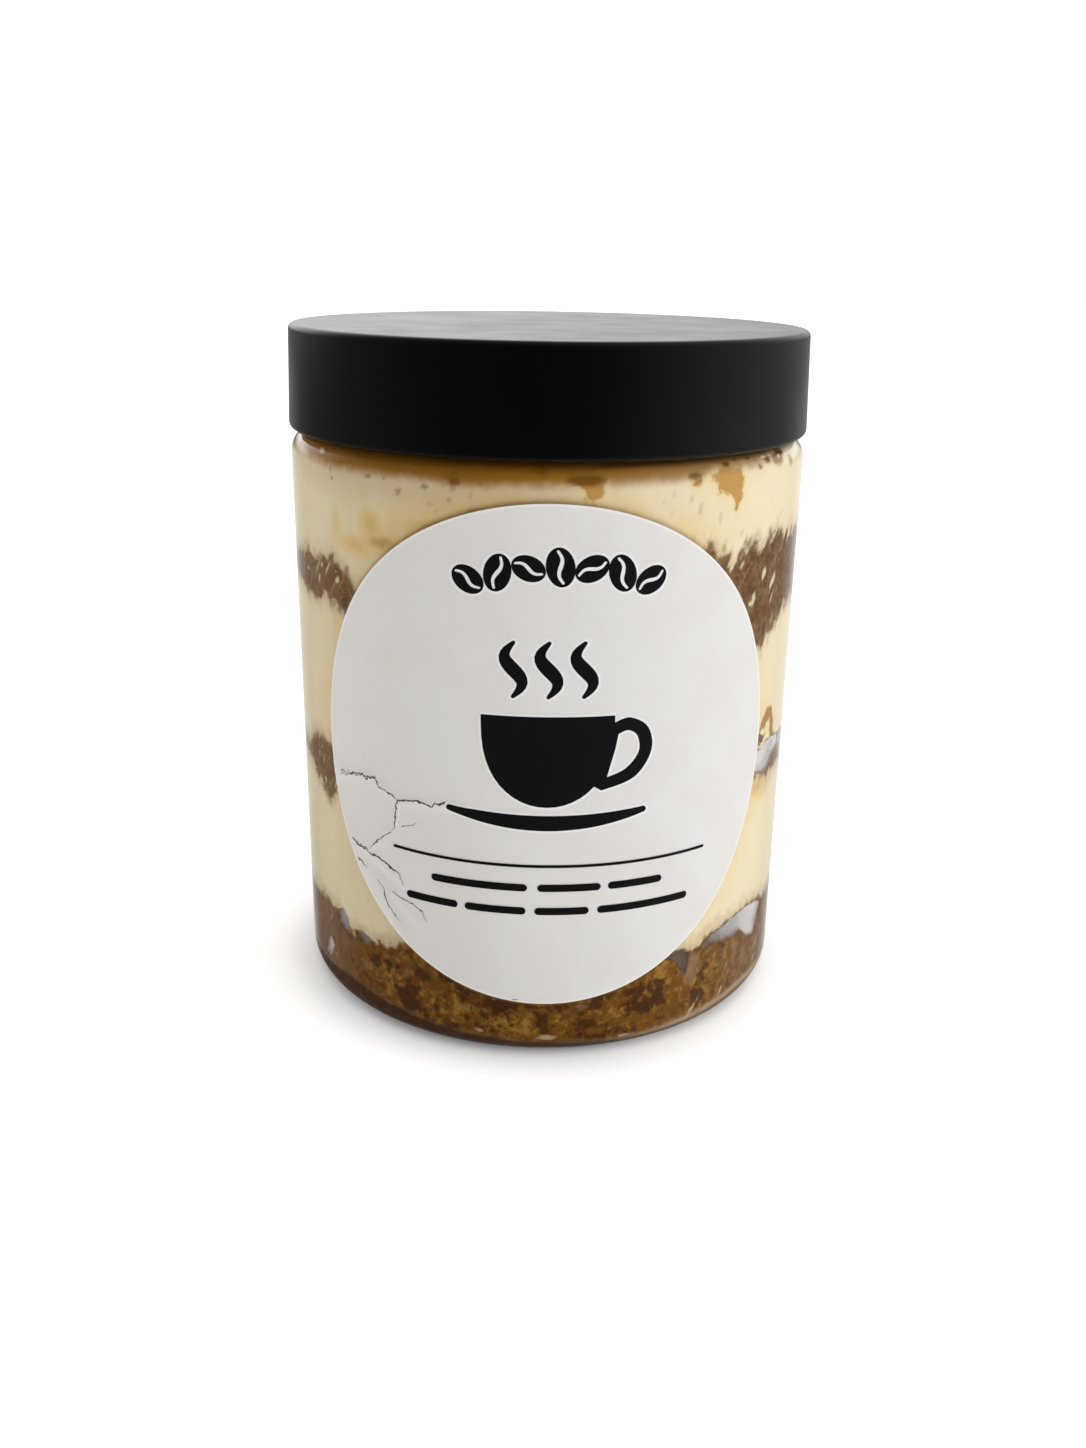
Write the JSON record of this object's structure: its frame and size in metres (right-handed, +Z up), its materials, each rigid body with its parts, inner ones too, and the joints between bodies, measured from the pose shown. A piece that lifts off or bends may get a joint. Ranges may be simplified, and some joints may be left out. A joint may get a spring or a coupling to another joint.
{
  "type": "jar of tiramisu",
  "caption": "Shut, clear, straight-sided jar with a black screw lid and a round white label, filled with layers of coffee-soaked sponge and mascarpone cream under cocoa.",
  "frame": {"origin": "centre of the circle that the jar stands on", "axes": "+Z up along the jar's axis, -Y towards the front, which is the side with the label, +X to the right as seen from the front"},
  "size_m": [0.0854, 0.0855, 0.112],
  "materials": {
    "clear_plastic": "smooth, clear, colourless",
    "black_plastic": "satin, plain, a softened edge at top and bottom",
    "label_paper": "coated white paper with a soft sheen",
    "sponge": "soaked open crumb, damp, mottled brown",
    "cream": "smooth thick cream, pressed flat on the wall",
    "cocoa": "damp cocoa and coffee, darker towards the lid"
  },
  "bodies": {
    "root": {"jar": "clear_plastic", "lid": "black_plastic", "label": "label_paper", "sponge_base": "sponge", "cream_lower": "cream", "sponge_middle": "sponge", "cream_middle": "cream", "sponge_top": "sponge", "cream_top": "cream", "cocoa_top": "cocoa"}
  },
  "joints": []
}
